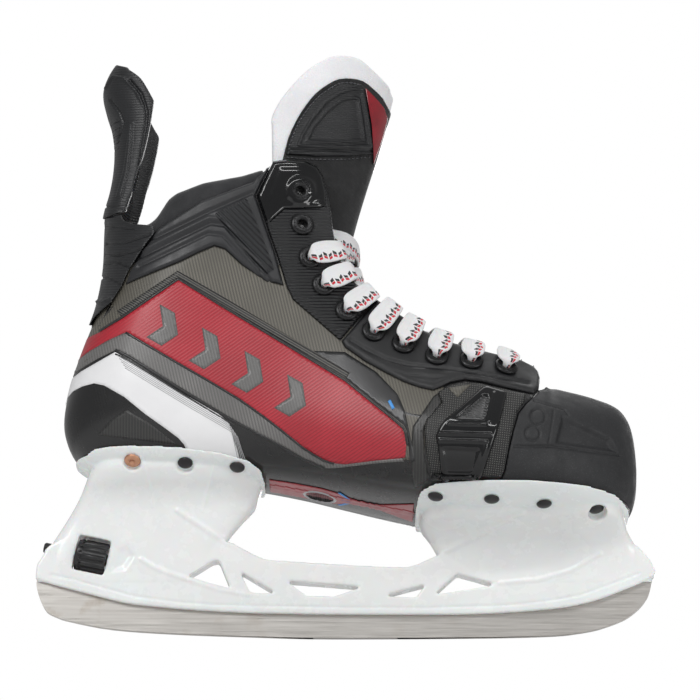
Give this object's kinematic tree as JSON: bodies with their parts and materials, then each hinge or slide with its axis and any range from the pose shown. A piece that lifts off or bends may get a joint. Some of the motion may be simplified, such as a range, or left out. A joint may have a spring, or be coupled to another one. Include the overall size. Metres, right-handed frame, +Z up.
{
  "type": "ice hockey skate",
  "caption": "Right-foot ice hockey skate: stiff moulded boot, laced throat, felt tongue, tendon guard, and a blade holder with a release lock and replaceable steel runner.",
  "frame": {"origin": "middle of the runner's flat bottom stretch, where it touches the ice", "axes": "+X towards the toe, +Z up, -Y out of the lateral (outer) side of the right foot"},
  "size_m": [0.296, 0.1041, 0.296],
  "materials": {
    "carbon_olive": "satin carbon-composite quarter with printed graphics",
    "toe_plastic": "matte charcoal with fine speckle",
    "flex_gloss": "gloss black moulding",
    "facing_black": "matte ribbed synthetic, stitched edge",
    "cuff_rubber": "matte moulded",
    "guard_plastic": "matte moulded, finely ribbed",
    "liner_suede": "brushed microfibre",
    "insole_foam": "foam footbed with a cloth top",
    "tongue_felt": "thick pressed felt",
    "tongue_plastic": "matte moulded guard",
    "badge_gloss": "glossy dark red",
    "eyelet_black": "black enamel",
    "rivet_gunmetal": "dark plated",
    "rivet_copper": "copper-coloured rivet",
    "lace_white": "waxed flat weave, white with a tracer",
    "holder_white": "moulded nylon, white",
    "runner_steel": "ground and polished",
    "lock_black": "ridged moulding",
    "lock_bolt_black": "blackened pin",
    "vent_metal": "pressed metal ring"
  },
  "bodies": {
    "boot_and_holder": {"boot_shell": "carbon_olive", "toe_cap": "toe_plastic", "flex_panel_lateral": "flex_gloss", "flex_panel_medial": "flex_gloss", "facing_lower_lateral": "facing_black", "facing_lower_medial": "facing_black", "facing_upper_lateral": "facing_black", "facing_upper_medial": "facing_black", "cuff_lateral": "cuff_rubber", "cuff_medial": "cuff_rubber", "tendon_guard_base": "guard_plastic", "collar_liner": "liner_suede", "insole": "insole_foam", "tongue_lower": "tongue_felt", "eyelet_lateral_01": "eyelet_black", "eyelet_lateral_02": "eyelet_black", "eyelet_lateral_03": "eyelet_black", "eyelet_lateral_04": "eyelet_black", "eyelet_lateral_05": "eyelet_black", "eyelet_lateral_06": "eyelet_black", "eyelet_lateral_07": "eyelet_black", "eyelet_lateral_08": "eyelet_black", "eyelet_lateral_09": "eyelet_black", "eyelet_lateral_10": "eyelet_black", "eyelet_medial_01": "eyelet_black", "eyelet_medial_02": "eyelet_black", "eyelet_medial_03": "eyelet_black", "eyelet_medial_04": "eyelet_black", "eyelet_medial_05": "eyelet_black", "eyelet_medial_06": "eyelet_black", "eyelet_medial_07": "eyelet_black", "eyelet_medial_08": "eyelet_black", "eyelet_medial_09": "eyelet_black", "eyelet_medial_10": "eyelet_black", "heel_rivet_lateral_1": "rivet_copper", "heel_rivet_lateral_2": "rivet_gunmetal", "heel_rivet_lateral_3": "rivet_gunmetal", "heel_rivet_medial_1": "rivet_gunmetal", "heel_rivet_medial_2": "rivet_gunmetal", "heel_rivet_medial_3": "rivet_gunmetal", "toe_rivet_lateral_1": "rivet_gunmetal", "toe_rivet_lateral_2": "rivet_gunmetal", "toe_rivet_lateral_3": "rivet_gunmetal", "toe_rivet_lateral_4": "rivet_gunmetal", "toe_rivet_medial_1": "rivet_gunmetal", "toe_rivet_medial_2": "rivet_gunmetal", "toe_rivet_medial_3": "rivet_gunmetal", "toe_rivet_medial_4": "rivet_gunmetal", "lace": "lace_white", "blade_holder": "holder_white", "sole_vent": "vent_metal"},
    "tendon_guard": {"tendon_guard": "guard_plastic"},
    "tongue": {"tongue_upper": "tongue_felt", "tongue_patch_lateral": "tongue_plastic", "tongue_patch_medial": "tongue_plastic", "tongue_badge_lateral": "badge_gloss", "tongue_badge_medial": "badge_gloss"},
    "lock_dial": {"lock_dial": "lock_black"},
    "lock_bolt": {"lock_bolt": "lock_bolt_black"},
    "runner": {"runner": "runner_steel"}
  },
  "joints": [
    {"name": "tendon_guard_flex", "type": "hinge", "parent": "boot_and_holder", "child": "tendon_guard", "pos_m": [-0.1195, 0, 0.205], "axis": [0, 1, 0], "range_deg": [-25, 3], "stiffness_Nm_per_rad": 2},
    {"name": "tongue_fold", "type": "hinge", "parent": "boot_and_holder", "child": "tongue", "pos_m": [0.0039, 0, 0.2054], "axis": [0, 1, 0], "range_deg": [-2, 26], "stiffness_Nm_per_rad": 1.5},
    {"name": "lock_dial_turn", "type": "hinge", "parent": "boot_and_holder", "child": "lock_dial", "pos_m": [-0.121, 0, 0.04], "axis": [0.9781, 0, -0.2079], "range_deg": [0, 300]},
    {"name": "lock_bolt_slide", "type": "slide", "parent": "boot_and_holder", "child": "lock_bolt", "axis": [-0.9781, 0, 0.2079], "range_m": [0, 0.005]},
    {"name": "runner_release", "type": "slide", "parent": "boot_and_holder", "child": "runner", "axis": [0, 0, -1], "range_m": [0, 0.035]}
  ],
  "couplings": [
    {"joint": "lock_dial_turn", "follows": "lock_bolt_slide", "rad_per_m": 1047.1}
  ]
}
